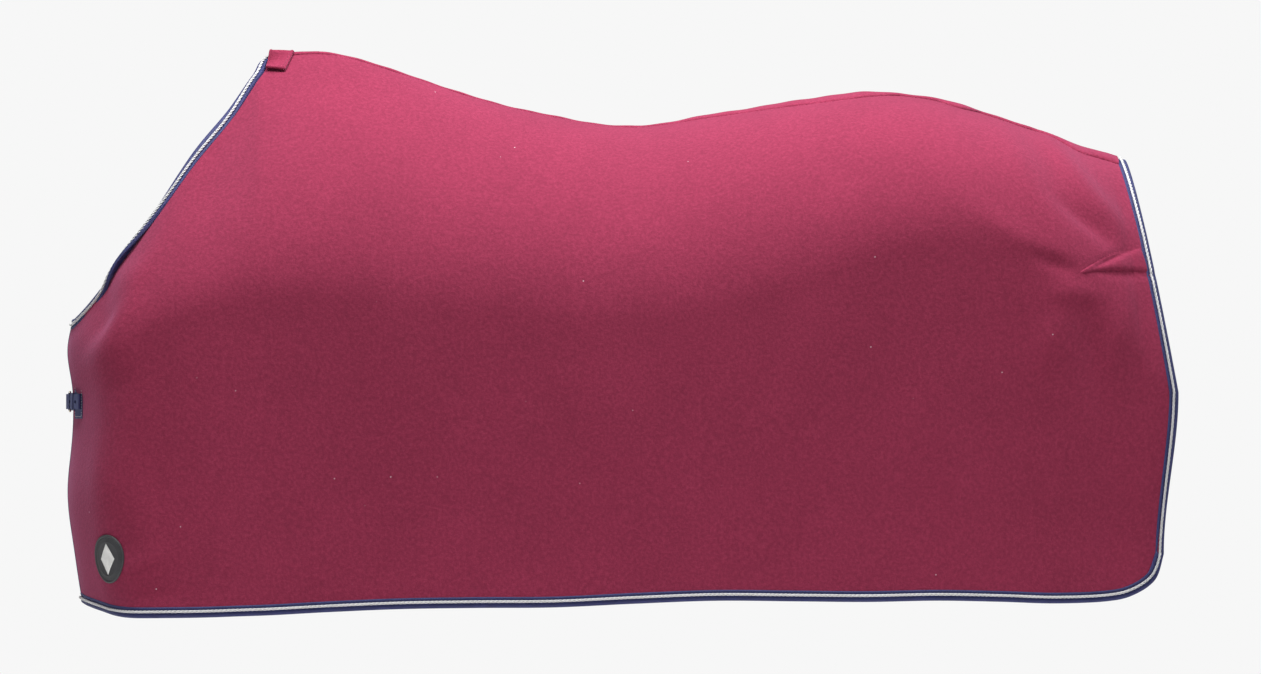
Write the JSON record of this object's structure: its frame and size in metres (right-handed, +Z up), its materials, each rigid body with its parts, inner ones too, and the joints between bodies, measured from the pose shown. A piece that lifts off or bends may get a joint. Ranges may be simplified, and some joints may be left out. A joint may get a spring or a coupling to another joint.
{
  "type": "turnout rug",
  "caption": "Fleece horse rug that hangs over the back, with bound and corded edges, a spine seam, hip wedges, a buckled chest strap and tail rings.",
  "frame": {"origin": "on the horse's back, at the underside of the rug's spine seam at the lowest point of the back", "axes": "+X towards the tail, -X towards the chest, +Z up, the horse's near (left) side at -Y"},
  "size_m": [1.8403, 0.62, 0.9379],
  "materials": {
    "fleece": "short burgundy fleece pile",
    "fleece_band": "burgundy fleece, stitched down",
    "binding": "navy woven tape, folded and sewn",
    "twisted_cord": "white twisted cord",
    "webbing": "navy woven webbing",
    "badge_grey": "moulded dark grey soft plastic",
    "badge_white": "moulded white soft plastic",
    "buckle_metal": "plated wire, satin"
  },
  "bodies": {
    "rug": {"near_side_panel": "fleece", "off_side_panel": "fleece", "near_hip_gusset": "fleece", "off_hip_gusset": "fleece", "spine_tape": "fleece_band", "wither_patch": "fleece_band", "neck_binding": "binding", "tail_binding": "binding", "near_hem_binding": "binding", "off_hem_binding": "binding", "near_front_binding": "binding", "off_front_binding": "binding", "neck_cord": "twisted_cord", "tail_cord": "twisted_cord", "near_hem_cord": "twisted_cord", "off_hem_cord": "twisted_cord", "badge_disc": "badge_grey", "badge_rim": "badge_grey", "badge_diamond": "badge_white", "near_tab_backing": "webbing", "near_buckle_loop": "webbing", "fixed_keeper": "webbing", "off_strap_backing": "webbing", "billet_strap": "webbing", "near_tail_loop": "webbing", "off_tail_loop": "webbing"},
    "buckle_frame": {"buckle_frame": "buckle_metal"},
    "buckle_prong": {"buckle_prong": "buckle_metal"},
    "buckle_roller": {"buckle_roller": "buckle_metal"},
    "sliding_keeper": {"sliding_keeper": "webbing"},
    "near_tail_ring": {"near_tail_ring": "buckle_metal"},
    "off_tail_ring": {"off_tail_ring": "buckle_metal"}
  },
  "joints": [
    {"name": "buckle_swing", "type": "hinge", "parent": "rug", "child": "buckle_frame", "pos_m": [-0.91243, -0.014, -0.451], "axis": [0, 0, 1], "range_deg": [0, 3.1]},
    {"name": "prong_lift", "type": "hinge", "parent": "buckle_frame", "child": "buckle_prong", "pos_m": [-0.91243, -0.014, -0.451], "axis": [0, 0, 1], "range_deg": [0, 3.1]},
    {"name": "roller_spin", "type": "hinge", "parent": "buckle_frame", "child": "buckle_roller", "pos_m": [-0.91243, 0.014, -0.451], "axis": [0, 0, 1], "continuous": true},
    {"name": "keeper_slide", "type": "slide", "parent": "rug", "child": "sliding_keeper", "axis": [-0.2079, 0.9782, 0], "range_m": [-0.008, 0.009]},
    {"name": "near_ring_swing", "type": "hinge", "parent": "rug", "child": "near_tail_ring", "pos_m": [0.88763, -0.19657, -0.34673], "axis": [-0.0755, 0.1596, 0.9843], "range_deg": [-10, 70]},
    {"name": "off_ring_swing", "type": "hinge", "parent": "rug", "child": "off_tail_ring", "pos_m": [0.88763, 0.19657, -0.34673], "axis": [-0.0755, -0.1596, 0.9843], "range_deg": [-70, 10]}
  ]
}
